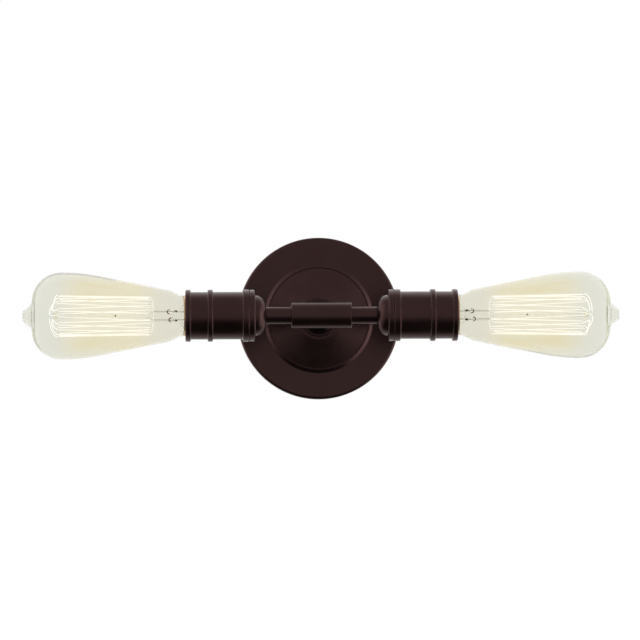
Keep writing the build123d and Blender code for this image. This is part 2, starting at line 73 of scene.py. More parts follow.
# Filament's cage and its glass stem: the stem's flare, then its tube, then the press
cage_r = 14.9 * mm
cage_root_r = 13.9 * mm
cage_hooks = 9
hook_turn = 2 * pi / cage_hooks
hook_r = 0.6 * mm
filament_r = 0.28 * mm
filament_end_angle = radians(10)
wire_r = 0.2 * mm
stem_flare = 8.5 * mm
stem_tube = 5.0 * mm

# Threads of the bulb's base and its shell, and of the stem's nipple and the studs
base_pitch, base_depth = 3.63 * mm, 0.7 * mm
nipple_pitch, nipple_depth = 0.94 * mm, 0.3 * mm
stud_pitch, stud_depth = 0.79 * mm, 0.25 * mm

# How finely round pieces are divided, and each turn of a coarse and a fine thread
ring_steps = 144
glass_steps = 240
arc_step = radians(6)
arc_length = 3 * mm
coarse_rows = 10
fine_rows = 6


# Sizes read from the frame


def along(node):
    """How far from the middle of the hub a node starts and ends along the lamp axis."""
    low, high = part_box(node)
    return sorted((abs(low.x), abs(high.x)))


def off_wall(node):
    """How far off the wall a node starts and ends."""
    low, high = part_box(node)
    return -high.y, -low.y


def half_height(node):
    """Half of a node's size up and down, which is the radius of a round one."""
    low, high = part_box(node)
    return (high.z - low.z) / 2


def cage_ends(hand):
    """Where the middle of the filament's wire lies at the cage's inner and outer end."""
    low, high = along(f"filament_{hand}")
    half = 0.25 * mm
    return low + half, high - half


# Geometry helpers


def arc(before, here, after, size):
    """Points of an arc of this radius in the corner between two straight runs."""
    to_before = (before - here).normalized()
    to_after = (after - here).normalized()
    opening = acos(max(-1, min(1, to_before.dot(to_after))))
    reach = size / tan(opening / 2)
    middle = here + (to_before + to_after).normalized() * (size / sin(opening / 2))
    first = here + to_before * reach - middle
    last = here + to_after * reach - middle
    turn = pi - opening
    steps = max(3, ceil(turn / arc_step), ceil(turn * size / arc_length))
    points = []
    for step in range(steps + 1):
        share = step / steps
        spoke = first * sin((1 - share) * turn) + last * sin(share * turn)
        points.append(middle + spoke / sin(turn))
    return points


def rounded(corners, closed):
    """Outline points of (radius, height, round) corners, with an arc at each corner that has a round."""
    points = []
    count = len(corners)
    for place, corner in enumerate(corners):
        here = Vector(corner[:2])
        ends = place in (0, count - 1) and not closed
        if len(corner) < 3 or ends:
            points.append(here)
        else:
            before = Vector(corners[place - 1][:2])
            after = Vector(corners[(place + 1) % count][:2])
            points += arc(before, here, after, corner[2])
    return points


def bent(points, rounds):
    """Path along straight runs that are joined by arcs."""
    points = [Vector(point) for point in points]
    path = [points[0]]
    for place, size in enumerate(rounds, start=1):
        path += arc(points[place - 1], points[place], points[place + 1], size)
    return path + [points[-1]]


def rows(start, end, step):
    """Corners on the straight line between two corners, for a thread or ribs to shape."""
    start, end = Vector(start), Vector(end)
    count = ceil((end - start).length / step)
    return [tuple(start.lerp(end, k / count)) for k in range(1, count)]


def groove_dip(low, high, depth, fade_length, least_r, phase):
    """How far in grooves lie at a radius, a height and an angle. They fade out at both ends."""

    def dip(radius, height, angle):
        if radius < least_r or not low < height < high:
            return 0
        fade = min(1, (height - low) / fade_length, (high - height) / fade_length)
        return fade * depth * (1 - cos(phase(height, angle))) / 2

    return dip


def thread_dip(low, high, pitch, depth, least_r):
    """Groove of a helical thread."""

    def phase(height, angle):
        return 2 * pi * height / pitch - angle

    return groove_dip(low, high, depth, pitch / 2, least_r, phase)


def rib_dip(low, high, count, depth, least_r):
    """Grooves between the ribs of a grip."""
    return groove_dip(low, high, depth, 4 * depth, least_r, lambda height, angle: count * angle)


def placed(name, data):
    """New object in the scene."""
    made = bpy.data.objects.new(name, data)
    bpy.context.scene.collection.objects.link(made)
    return made


def mesh_object(name, vertices, faces, place=None, smooth=True):
    """New object from points and faces, moved by place."""
    mesh = bpy.data.meshes.new(name)
    mesh.from_pydata([tuple(v) for v in vertices], [], faces)
    if place is not None:
        mesh.transform(place)
        if place.determinant() < 0:
            mesh.flip_normals()
    mesh.update()
    if smooth:
        mesh.shade_smooth()
    return placed(name, mesh)


def weigh_normals(made):
    """Keeps flat faces flat beside their rounded edges."""
    modifier = made.modifiers.new("weighted_normals", "WEIGHTED_NORMAL")
    modifier.keep_sharp = True
    return made


def skinned(rings, closed):
    """Points and faces of a skin over rings of equal count, where a ring of one point is a pole."""
    vertices = []
    indices = []
    steps = max(len(ring) for ring in rings)
    for ring in rings:
        first = len(vertices)
        vertices += ring
        indices.append([first + (k if len(ring) > 1 else 0) for k in range(steps)])
    pairs = list(zip(indices, indices[1:]))
    if closed:
        pairs.append((indices[-1], indices[0]))
    faces = []
    for low, high in pairs:
        for k in range(steps):
            around = (k + 1) % steps
            face = list(dict.fromkeys([low[k], low[around], high[around], high[k]]))
            if len(face) > 2:
                faces.append(face)
    return vertices, faces


def lathe_skin(corners, closed=True, steps=ring_steps, dip=None):
    """Skin of a body of revolution about local Z. An open outline starts and ends on the axis."""
    on_axis = 0.001 * mm
    rings = []
    for radius, height in rounded(corners, closed):
        if radius < on_axis:
            rings.append([Vector((0, 0, height))])
            continue
        ring = []
        for k in range(steps):
            angle = 2 * pi * k / steps
            reach = radius - (dip(radius, height, angle) if dip else 0)
            ring.append(Vector((reach * cos(angle), reach * sin(angle), height)))
        rings.append(ring)
    return skinned(rings, closed)


def tube_outline(low, high):
    """Outline of the tube that stem and arms are cut from."""
    bore_r = tube_r - tube_wall
    return [(tube_r, low), (tube_r, high), (bore_r, high), (bore_r, low)]


def lathe(name, corners, place, **settings):
    """Object that is one body of revolution."""
    return weigh_normals(mesh_object(name, *lathe_skin(corners, **settings), place))


def joined(name, skins, place):
    """Object made of several skins."""
    vertices, faces = [], []
    for more_vertices, more_faces in skins:
        first = len(vertices)
        vertices += more_vertices
        faces += [[first + k for k in face] for face in more_faces]
    return weigh_normals(mesh_object(name, vertices, faces, place))


def oval_skin(sections, steps=64):
    """Skin through oval sections of (height, half width in X, half width in Y). A zero width is a pole."""
    rings = []
    for height, half_x, half_y in sections:
        angles = [2 * pi * k / steps for k in range(steps if half_x else 1)]
        rings.append([Vector((half_x * cos(a), half_y * sin(a), height)) for a in angles])
    return skinned(rings, closed=False)


def moved(skin, place):
    """The same skin at another place."""
    vertices, faces = skin
    return [place @ v for v in vertices], faces


def frame_matrix(origin, x_axis, z_axis):
    """Matrix that takes local X and Z to the given axes."""
    x_axis, z_axis = Vector(x_axis), Vector(z_axis)
    y_axis = z_axis.cross(x_axis)
    turned = Matrix((x_axis, y_axis, z_axis)).transposed().to_4x4()
    return Matrix.Translation(Vector(origin)) @ turned


def light_place(side):
    """Local Z runs from the middle of the hub outwards along one arm."""
    return frame_matrix((0, -projection, 0), (0, -1, 0), (side, 0, 0))


wall_place = frame_matrix((0, 0, 0), (1, 0, 0), (0, -1, 0))


def strand(name, paths, radius, place=None):
    """Round wires along lists of points, as one curve object."""
    curve = bpy.data.curves.new(name, "CURVE")
    curve.dimensions = "3D"
    curve.bevel_depth = radius
    curve.bevel_resolution = 3
    curve.use_fill_caps = True
    for path in paths:
        spline = curve.splines.new("POLY")
        spline.points.add(len(path) - 1)
        for point, spot in zip(spline.points, path):
            point.co = (*(place @ spot if place else spot), 1)
    return placed(name, curve)


# Material helpers


class Nodes:
    """Adds and links the nodes of one tree."""

    def __init__(self, tree):
        self.tree = tree
        tree.nodes.clear()

    def add(self, kind, **settings):
        """New node of a kind, with its settings."""
        made = self.tree.nodes.new(kind)
        for name, value in settings.items():
            setattr(made, name, value)
        return made

    def link(self, source, output, target, socket):
        """Joins a node's output to another node's input."""
        self.tree.links.new(source.outputs[output], target.inputs[socket])

    def math(self, operation, first, second=None):
        """Arithmetic on plain numbers and (node, output) pairs."""
        made = self.add("ShaderNodeMath", operation=operation)
        for socket, value in enumerate((first, second)):
            if isinstance(value, tuple):
                self.link(*value, made, socket)
            elif value is not None:
                made.inputs[socket].default_value = value
        return (made, "Value")

    def step(self, source, start, end, low=0.0, high=1.0):
        """Smooth step from low to high while a (node, output) pair runs from start to end."""
        made = self.add("ShaderNodeMapRange", interpolation_type="SMOOTHSTEP")
        values = {"From Min": start, "From Max": end, "To Min": low, "To Max": high}
        for socket, value in values.items():
            made.inputs[socket].default_value = value
        self.link(*source, made, "Value")
        return (made, "Result")

    def split(self, source, output):
        """The three (node, output) pairs of a coordinate."""
        made = self.add("ShaderNodeSeparateXYZ")
        self.link(source, output, made, "Vector")
        return (made, "X"), (made, "Y"), (made, "Z")

    def seen(self):
        """One for the rays of the eye, straight or through the glass, and zero for all other light."""
        path = self.add("ShaderNodeLightPath")
        return self.math("MAXIMUM", (path, "Is Camera Ray"), (path, "Is Transmission Ray"))


class Shader(Nodes):
    """One procedural material under construction."""

    def __init__(self, name):
        self.material = bpy.data.materials.new(name)
        self.material.use_nodes = True
        super().__init__(self.material.node_tree)
        self.output = self.add("ShaderNodeOutputMaterial")
        self.surface = self.add("ShaderNodeBsdfPrincipled")
        self.link(self.surface, "BSDF", self.output, "Surface")
        self.spots = self.add("ShaderNodeTexCoord")

    def set(self, **values):
        """Sets plain values of the surface."""
        for name, value in values.items():
            self.surface.inputs[name.replace("_", " ")].default_value = value

    def noise(self, scale, detail=3.0, roughness=0.5, stretch=(1, 1, 1)):
        """Noise in the part's own metres, so that scale is in features per metre."""
        mapping = self.add("ShaderNodeMapping")
        mapping.inputs["Scale"].default_value = stretch
        self.link(self.spots, "Object", mapping, "Vector")
        made = self.add("ShaderNodeTexNoise")
        made.inputs["Scale"].default_value = scale
        made.inputs["Detail"].default_value = detail
        made.inputs["Roughness"].default_value = roughness
        self.link(mapping, "Vector", made, "Vector")
        return (made, "Fac")

    def ramp(self, source, stops):
        """Colour ramp of (place, colour) stops."""
        made = self.add("ShaderNodeValToRGB")
        elements = made.color_ramp.elements
        while len(elements) < len(stops):
            elements.new(0.5)
        for element, (place, colour) in zip(elements, stops):
            element.position = place
            element.color = (*colour, 1)
        self.link(*source, made, "Fac")
        return (made, "Color")

    def mix(self, factor, first, second):
        """Mixes two colours, each plain or a (node, output) pair. The node has colours on these sockets."""
        first_colour, second_colour, result_colour = 6, 7, 2
        made = self.add("ShaderNodeMix", data_type="RGBA")
        self.link(*factor, made, "Factor")
        for socket, value in ((first_colour, first), (second_colour, second)):
            if len(value) == 2:
                self.link(*value, made, socket)
            else:
                made.inputs[socket].default_value = (*value, 1)
        return (made, result_colour)

    def feed(self, source, socket):
        """Links a (node, output) pair to the surface."""
        self.link(*source, self.surface, socket)

    def bump(self, source, strength, distance):
        """Bumps the surface by a (node, output) pair."""
        made = self.add("ShaderNodeBump")
        made.inputs["Strength"].default_value = strength
        made.inputs["Distance"].default_value = distance
        self.link(*source, made, "Height")
        self.link(made, "Normal", self.surface, "Normal")


def worn_edges(shader, reach, soft_start, soft_end):
    """Mask that is light on edges narrower than reach."""
    bevel = shader.add("ShaderNodeBevel", samples=6)
    bevel.inputs["Radius"].default_value = reach
    plain = shader.add("ShaderNodeNewGeometry")
    dot = shader.add("ShaderNodeVectorMath", operation="DOT_PRODUCT")
    shader.link(bevel, "Normal", dot, 0)
    shader.link(plain, "Normal", dot, 1)
    return shader.step((dot, "Value"), soft_end, soft_start)


def bronze_material(name, corner=None):
    """Oil-rubbed bronze: dark brown coat with a faint mottle and warmer, thinner edges.

    Where corner gives an inner and outer radius, the coat is darker round the stem: this is painted shade,
    standing in for the shade of the hub and stem on the crown and collar.
    """
    dark_coat, light_coat = (0.052, 0.0275, 0.0265), (0.060, 0.0325, 0.0315)
    stem_shade_coat = (0.026, 0.0145, 0.0145)
    rubbed_coat = (0.16, 0.085, 0.062)
    edge_reach = 1.0 * mm
    grain_depth = 0.05 * mm
    shader = Shader(name)
    shader.set(Metallic=1.0)
    mottle = shader.noise(60, detail=4, roughness=0.6)
    base = shader.ramp(mottle, [(0.3, dark_coat), (0.7, light_coat)])
    # Painted shade: the coat darkens round the stem, fully inside the inner radius and not at all beyond
    # the outer.
    if corner:
        x, y, z = shader.split(shader.spots, "Object")
        squares = [shader.math("MULTIPLY", x, x), shader.math("MULTIPLY", z, z)]
        radius = shader.math("SQRT", shader.math("ADD", *squares))
        base = shader.mix(shader.step(radius, *corner), stem_shade_coat, base)
    grain = shader.noise(900, detail=3, roughness=0.6)
    flecks = shader.step(grain, 0.48, 0.64, low=0.12)
    rubbed = shader.math("MULTIPLY", worn_edges(shader, edge_reach, 0.88, 0.99), flecks)
    shader.feed(shader.mix(rubbed, base, rubbed_coat), "Base Color")
    shader.feed(shader.step(mottle, 0.3, 0.7, low=0.27, high=0.35), "Roughness")
    shader.bump(shader.noise(2600, detail=2), 0.05, grain_depth)
    return shader.material


def glass_material():
    """Thin glass with an amber coat: tan beside the cage, grey towards both ends, olive edge on.

    A zone is where one colour gives way to the next, off the lamp axis or along it. The dark line
    seen edge on is partly the amber's longer path through the glass and partly painted shade: it lies
    at the bulb's end and on one flank, which is the right bulb's lower and the left one's upper, and
    the left bulb's end is painted darker than the right's.
    """
    plain_coat = (0.910, 0.890, 0.79)
    light_tan, dark_tan = (0.895, 0.868, 0.760), (0.878, 0.840, 0.690)
    flank_coat = (0.872, 0.865, 0.79)
    dome_coat = (0.866, 0.868, 0.815)
    neck_coat = (0.862, 0.850, 0.785)
    flank_tint_and_shade, end_tint_and_shade, left_end_tint_and_shade = (0.27, 0.26, 0.22), (0.46, 0.46, 0.22), (0.25, 0.24, 0.10)
    tan_zone = 10 * mm, 18 * mm
    flank_zone = 21 * mm, 31 * mm
    neck_zone = 140 * mm, 112 * mm
    belly_zone = 145 * mm, 155 * mm
    dome_zone = 172 * mm, 200 * mm
    end_zone = 200 * mm, 207 * mm
    lean_zone = -8 * mm, -16 * mm
    left_to_right = -10 * mm, 10 * mm
    right_share = 0.65
    ripple_depth = 0.5 * mm
    shader = Shader("amber_glass")
    shader.set(Roughness=0.0, IOR=1.2, Transmission_Weight=1.0)
    x, y, z = shader.split(shader.spots, "Object")
    out = shader.math("ABSOLUTE", x)
    up = shader.math("ABSOLUTE", z)
    streaks = shader.noise(130, detail=3, stretch=(0.1, 1, 1))
    tan_coat = shader.ramp(streaks, [(0.35, light_tan), (0.65, dark_tan)])
    body = shader.mix(shader.step(up, *tan_zone), plain_coat, tan_coat)
    body = shader.mix(shader.step(up, *flank_zone), body, flank_coat)
    body = shader.mix(shader.step(out, *dome_zone), body, dome_coat)
    body = shader.mix(shader.step(out, *neck_zone), body, neck_coat)
    slant = shader.add("ShaderNodeLayerWeight")
    slant.inputs["Blend"].default_value = 0.5
    end = shader.step(out, *end_zone)
    lean = shader.math("MULTIPLY", shader.math("SIGN", x), z)
    flank = shader.math("MULTIPLY", shader.step(out, *belly_zone), shader.step(lean, *lean_zone))
    flank = shader.math("MULTIPLY", flank, shader.step(x, *left_to_right, low=1.0, high=right_share))
    # Painted shade: edge on, the glass darkens at the end and on one flank, more than the amber's longer
    # path alone would darken it.
    rim = shader.step((slant, "Facing"), 0.68, 0.86)
    line = shader.math("MULTIPLY", rim, shader.math("MAXIMUM", end, flank))
    # Painted shade: the left bulb's end is darker than the right's.
    left_end = shader.math("MULTIPLY", end, shader.math("LESS_THAN", x, 0.0))
    edge_tint_and_shade = shader.mix(end, flank_tint_and_shade, end_tint_and_shade)
    edge_tint_and_shade = shader.mix(left_end, edge_tint_and_shade, left_end_tint_and_shade)
    shader.feed(shader.mix(line, body, edge_tint_and_shade), "Base Color")
    shader.bump(shader.noise(45, detail=2, stretch=(0.35, 1, 1)), 0.08, ripple_depth)
    return shader.material


def stem_glass_material(name, bend):
    """Clear glass, slightly uneven from the flame, with an amber button at the cage's far end."""
    dull_glass, clean_glass = (0.95, 0.96, 0.95), (0.99, 0.99, 0.98)
    amber = (0.93, 0.89, 0.76)
    button_start = 191.6 * mm, 192.2 * mm
    button_end = 195.0 * mm, 195.6 * mm
    ripple_depth = 0.3 * mm
    shader = Shader(name)
    shader.set(Roughness=0.0, IOR=bend, Transmission_Weight=1.0)
    clear = shader.ramp(shader.noise(150, detail=2), [(0.3, dull_glass), (0.7, clean_glass)])
    x, y, z = shader.split(shader.spots, "Object")
    out = shader.math("ABSOLUTE", x)
    starts = shader.step(out, *button_start)
    ends = shader.step(out, *button_end, low=1.0, high=0.0)
    button = shader.math("MULTIPLY", starts, ends)
    shader.feed(shader.mix(button, clear, amber), "Base Color")
    shader.bump(shader.noise(220, detail=2), 0.2, ripple_depth)
    return shader.material


def glowing_material(name, strength, base=(0.6, 0.56, 0.5)):
    """Softly glowing wire or glass, cool enough to look white through the amber coat."""
    dim_glow, full_glow = (0.94, 0.925, 0.95), (0.95, 0.94, 1.0)
    shader = Shader(name)
    shader.set(Base_Color=(*base, 1), Roughness=0.6, Emission_Strength=strength)
    flicker = shader.noise(160, detail=2)
    shader.feed(shader.ramp(flicker, [(0.3, dim_glow), (0.7, full_glow)]), "Emission Color")
    return shader.material


def metal_material(name, dark, light, roughness, scale=120, metallic=1.0):
    """Plain or plated metal with faint streaks and scuffs."""
    scuff_depth = 0.05 * mm
    smooth, dull = roughness
    shader = Shader(name)
    shader.set(Metallic=metallic)
    streaks = shader.noise(scale, detail=5, roughness=0.6)
    shader.feed(shader.ramp(streaks, [(0.3, dark), (0.7, light)]), "Base Color")
    shader.feed(shader.step(streaks, 0.3, 0.7, low=dull, high=smooth), "Roughness")
    shader.bump(shader.noise(12 * scale, detail=2), 0.08, scuff_depth)
    return shader.material


def plastic_material(name, dark, light, roughness, scale=150, bump=0.1):
    """Plastic, card or glaze with a faint mottle."""
    grain_depth = 0.08 * mm
    smooth, dull = roughness
    shader = Shader(name)
    mottle = shader.noise(scale, detail=4, roughness=0.6)
    shader.feed(shader.ramp(mottle, [(0.35, dark), (0.65, light)]), "Base Color")
    shader.feed(shader.step(mottle, 0.3, 0.7, low=smooth, high=dull), "Roughness")
    shader.bump(shader.noise(8 * scale, detail=3), bump, grain_depth)
    return shader.material


MATERIALS = {
    "bronze": bronze_material("oil_rubbed_bronze"),
    "bulb_glass": glass_material(),
    "stem_glass": stem_glass_material("clear_glass", 1.12),
    "glowing_wire": glowing_material("glowing_filament", 0.90),
}

# Dark and light colour, smooth and dull roughness, and what differs from the usual metal or plastic
METALS = {
    "dark_wire": ((0.16, 0.13, 0.11), (0.34, 0.30, 0.26), (0.3, 0.5), {"scale": 300}),
    "zinc_steel": ((0.45, 0.44, 0.38), (0.68, 0.67, 0.62), (0.28, 0.5), {}),
    "green_steel": ((0.02, 0.16, 0.05), (0.05, 0.3, 0.1), (0.3, 0.45), {"metallic": 0.6}),
    "brass": ((0.60, 0.38, 0.20), (0.86, 0.62, 0.38), (0.25, 0.42), {}),
    "solder": ((0.4, 0.4, 0.4), (0.62, 0.62, 0.62), (0.3, 0.5), {"scale": 400}),
}
PLASTICS = {
    "ground_wire": ((0.01, 0.14, 0.04), (0.02, 0.2, 0.06), (0.3, 0.45), {}),
    "black_wire": ((0.008, 0.008, 0.008), (0.02, 0.02, 0.02), (0.35, 0.5), {}),
    "white_wire": ((0.66, 0.65, 0.6), (0.8, 0.79, 0.75), (0.35, 0.5), {}),
    "wire_nut_plastic": ((0.5, 0.06, 0.012), (0.66, 0.1, 0.02), (0.3, 0.45), {}),
    "liner_card": ((0.09, 0.05, 0.025), (0.17, 0.1, 0.05), (0.6, 0.8), {"bump": 0.3}),
    "porcelain": ((0.72, 0.7, 0.64), (0.84, 0.82, 0.77), (0.1, 0.25), {"scale": 60, "bump": 0.05}),
    "black_glass": ((0.006, 0.006, 0.01), (0.02, 0.02, 0.03), (0.08, 0.2), {"scale": 80, "bump": 0.03}),
}
for make, looks in ((metal_material, METALS), (plastic_material, PLASTICS)):
    for name, (dark, light, roughness, settings) in looks.items():
        MATERIALS[name] = make(name, dark, light, roughness, **settings)

# Looks of single pieces that differ from their slot's
# Bronze with painted shade round the stem, for the canopy's crown and the collar.
stem_shade_bronze = bronze_material("stem_shade_bronze", corner=(11 * mm, 16 * mm))
copper = metal_material("copper_knot", (0.10, 0.045, 0.025), (0.34, 0.15, 0.08), (0.3, 0.5), scale=300)
# Support wires glow faintly: a painted highlight, since only the filament is a light source.
painted_glint_wire = glowing_material("painted_glint_wire", 0.92)
# Milky glass that glows faintly: a painted highlight for the white shine at the cage's far end.
milky_painted_glow_glass = glowing_material("milky_painted_glow_glass", 0.2, base=(0.84, 0.87, 0.86))
flare_glass = stem_glass_material("flare_glass", 1.02)


def finished(made, body, slot, *nodes, look=None):
    """Gives a piece its material, the body it rides on and the CAD nodes that it stands for."""
    made.data.materials.append(look or MATERIALS[slot])
    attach(made, body)
    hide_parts(*nodes)


# Wall side


def make_canopy():
    """Spun dish: rim, flange, raised bead, shallow groove, cone and crown."""
    rim_r = half_height("canopy")
    crown = off_wall("canopy")[1]
    flange = 12.0 * mm
    sheet = 1.0 * mm
    bead_foot_r = 40.7 * mm
    bead_r = 38.1 * mm
    bead_top = flange + 2.0 * mm
    cone_r = 37.3 * mm
    cone_foot = flange + 1.55 * mm
    crown_r = 15.2 * mm
    lip_round = 0.3 * mm
    rim_round = 2.2 * mm
    foot_round = 0.8 * mm
    bead_round = 0.6 * mm
    groove_round = 0.2 * mm
    crown_round = 9.0 * mm
    back_round = 1.0 * mm
    outline = [
        (rim_r, 0, lip_round),
        (rim_r, flange, rim_round),
        (bead_foot_r, flange, foot_round),
        (bead_r, bead_top, bead_round),
        (cone_r, cone_foot, groove_round),
        (crown_r, crown, crown_round),
        (nipple_r + fit_gap, crown),
        (nipple_r + fit_gap, crown - sheet),
        (crown_r, crown - sheet, back_round),
        (cone_r, cone_foot - sheet, foot_round),
        (bead_foot_r, flange - sheet, foot_round),
        (rim_r - sheet, flange - sheet, rim_round - sheet),
        (rim_r - sheet, 0, lip_round),
    ]
    made = lathe("canopy_shell", outline, wall_place)
    # The crown gets the painted shade round the stem.
    finished(made, "root", "bronze", "canopy", look=stem_shade_bronze)


def make_stem():
    """Coved collar and the tube that stands in it."""
    crown, collar_top = off_wall("stem_collar")
    lip_r = half_height("stem_collar")
    neck_r = lip_r - 5.7 * mm
    bore_r = tube_r + fit_gap
    lip = crown + 1.4 * mm
    land = 0.5 * mm
    edge = 0.2 * mm
    lip_round = 0.8 * mm
    cove_round = 5.0 * mm
    top_round = 0.5 * mm
    collar = [
        (bore_r, crown),
        (lip_r, crown, edge),
        (lip_r, lip, lip_round),
        (neck_r, lip + land, cove_round),
        (neck_r, collar_top, top_round),
        (bore_r, collar_top, edge),
    ]
    made = lathe("collar_ring", collar, wall_place)
    # The collar gets the painted shade round the stem.
    finished(made, "root", "bronze", "stem_collar", look=stem_shade_bronze)
    made = lathe("stem_tube", tube_outline(*off_wall("stem")), wall_place)
    finished(made, "root", "bronze", "stem")


def make_nipple():
    """Threaded nipple that clamps the stem to the canopy."""
    low, high = off_wall("stem_nipple")
    bore_r = 3.5 * mm
    cut_turns = 8
    cut_end = low + cut_turns * nipple_pitch
    outline = [
        (nipple_r - nipple_depth, low),
        *rows((nipple_r, low), (nipple_r, cut_end), nipple_pitch / fine_rows),
        (nipple_r, high),
        (bore_r, high),
        (bore_r, low),
    ]
    dip = thread_dip(low, cut_end, nipple_pitch, nipple_depth, bore_r + nipple_depth)
    made = lathe("nipple_thread", outline, wall_place, steps=ring_steps // 2, dip=dip)
    finished(made, "root", "zinc_steel", "stem_nipple")


def make_studs():
    """Threaded studs behind the canopy and the domed cap nuts before it."""
    low_corner, high_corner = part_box("canopy_studs")
    low, high = off_wall("canopy_studs")
    head_r = half_height("canopy_studs")
    place = (high_corner.x - low_corner.x) / 2 - head_r
    stud_r = 2.1 * mm
    head = low + 2.6 * mm
    head_round = 0.3 * mm
    thread_start = head + 0.5 * mm
    dip = thread_dip(thread_start, high, stud_pitch, stud_depth, stud_r / 2)
    stud = [
        (0, low),
        (head_r, low, head_round),
        (head_r, head, head_round),
        (stud_r, head),
        *rows((stud_r, thread_start), (stud_r, high), stud_pitch / fine_rows),
        (stud_r - stud_depth, high),
        (0, high),
    ]
    seat, top = off_wall("cap_nuts")
    nut_r = half_height("cap_nuts")
    nut_bore_end = seat + 5.6 * mm
    seat_round = 0.4 * mm
    dome_round = 3.8 * mm
    nut = [
        (stud_r + fit_gap, seat),
        (nut_r, seat, seat_round),
        (nut_r, top, dome_round),
        (0, top),
        (0, nut_bore_end),
        (stud_r + fit_gap, nut_bore_end),
    ]
    stud_skin = lathe_skin(stud, closed=False, steps=ring_steps // 3, dip=dip)
    nut_skin = lathe_skin(nut, steps=ring_steps // 2)
    for name, skin, slot, node in (
        ("stud_pair", stud_skin, "zinc_steel", "canopy_studs"),
        ("cap_nut_pair", nut_skin, "bronze", "cap_nuts"),
    ):
        skins = [moved(skin, Matrix.Translation((x, 0, 0))) for x in (-place, place)]
        finished(joined(name, skins, wall_place), "root", slot, node)


def make_wire_nuts():
    """Ribbed twist-on connectors above and below the stem."""
    near, far = off_wall("wire_nuts")
    height = (near + far) / 2
    end = half_height("wire_nuts")
    start = end - 16.0 * mm
    bore_end = start + 8.0 * mm
    wide_r, narrow_r, bore_r = 5.5 * mm, 4.1 * mm, 2.8 * mm
    brim = 3.0 * mm
    grip_start, grip_end = start + brim, end - brim / 2
    grip_step = 0.5 * mm
    ribs, rib_depth = 14, 0.5 * mm
    inner_round, brim_round, top_round = 0.2 * mm, 0.6 * mm, 1.2 * mm
    outline = [
        (bore_r, start, inner_round),
        (wide_r, start, brim_round),
        (wide_r, grip_start),
        *rows((wide_r, grip_start), (narrow_r, grip_end), grip_step),
        (narrow_r, end, top_round),
        (0, end),
        (0, bore_end),
        (bore_r, bore_end),
    ]
    dip = rib_dip(grip_start, grip_end, ribs, rib_depth, (bore_r + narrow_r) / 2)
    skin = lathe_skin(outline, steps=8 * ribs, dip=dip)
    places = [frame_matrix((0, -height, 0), (1, 0, 0), (0, 0, up)) for up in (-1, 1)]
    skins = [moved(skin, place) for place in places]
    finished(joined("wire_nut_pair", skins, None), "root", "wire_nut_plastic", "wire_nuts")


def make_ground_lead():
    """Green lead from the ring terminal to the ground screw."""
    low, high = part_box("ground_lead")
    terminal_side, screw_side = high.x, low.x
    top, foot = low.y + lead_r, high.y - lead_r
    barrel = 6.5 * mm
    screw_reach = 3.5 * mm
    bend_r = 3.0 * mm
    points = [
        (terminal_side, top, 0),
        (terminal_side - barrel, top, 0),
        (screw_side + screw_reach, foot, 0),
        (screw_side, foot, 0),
    ]
    path = bent(points, [bend_r, bend_r])
    finished(strand("ground_cord", [path], lead_r), "root", "ground_wire", "ground_lead")


# Hub, arms and sockets


def make_hub():
    """Cross hub with softened ends."""
    end = along("hub")[1]
    hub_r = half_height("hub")
    seat_r = tube_r + fit_gap
    seat = end - 12.0 * mm
    inner_round = 0.15 * mm
    outer_round = 0.6 * mm
    outline = [
        (seat_r, end, inner_round),
        (hub_r, end, outer_round),
        (hub_r, -end, outer_round),
        (seat_r, -end, inner_round),
        (seat_r, -seat),
        (tube_r - tube_wall, -seat),
        (tube_r - tube_wall, seat),
        (seat_r, seat),
    ]
    finished(lathe("hub_cross", outline, light_place(1)), "root", "bronze", "hub")


def make_arm(side, hand):
    """Tube from the hub to the socket."""
    node = f"arm_{hand}"
    made = lathe(f"arm_tube_{hand}", tube_outline(*along(node)), light_place(side))
    finished(made, "root", "bronze", node)


def make_socket(side, hand):
    """Turned shell with three raised rings, and the domed cap behind it."""
    joint, mouth = along(f"socket_shell_{hand}")
    start = along(f"socket_cap_{hand}")[0]
    ring_r = half_height(f"socket_shell_{hand}")
    shell_r = ring_r - 1.65 * mm
    bore_r = shell_r - 1.45 * mm
    rear = joint + 5.2 * mm
    middle = joint + 26.7 * mm
    middle_end = middle + 4.0 * mm
    front = mouth - 4.1 * mm
    edge = 1.1 * mm
    rear_edge = 1.2 * mm
    sharp = 0.3 * mm
    nick = 0.25 * mm
    shell = [
        (bore_r, joint),
        (ring_r, joint, edge),
        (ring_r, rear, rear_edge),
        (shell_r, rear, nick),
        (shell_r, middle, nick),
        (ring_r, middle, edge),
        (ring_r, middle_end, edge),
        (shell_r, middle_end, nick),
        (shell_r, front, nick),
        (ring_r, front, edge),
        (ring_r, mouth, edge),
        (bore_r, mouth, sharp),
    ]
    finished(lathe(f"shell_{hand}", shell, light_place(side)), "root", "bronze", f"socket_shell_{hand}")
    dome_r = 14.7 * mm
    rim_r = ring_r - 0.2 * mm
    rim_start = joint - 4.0 * mm
    wall = 1.6 * mm
    eye_round = 0.2 * mm
    dome_round = 7.3 * mm
    dome_back_round = 5.0 * mm
    rim_foot_round = 0.4 * mm
    rim_round = 1.0 * mm
    cap = [
        (nipple_r + fit_gap, start, eye_round),
        (dome_r, start, dome_round),
        (dome_r, rim_start, rim_foot_round),
        (rim_r, rim_start, rim_round),
        (rim_r, joint, sharp),
        (bore_r, joint),
        (bore_r, joint - wall),
        (dome_r - wall, joint - wall),
        (dome_r - wall, start + wall, dome_back_round),
        (nipple_r + fit_gap, start + wall),
    ]
    finished(lathe(f"cap_{hand}", cap, light_place(side)), "root", "bronze", f"socket_cap_{hand}")


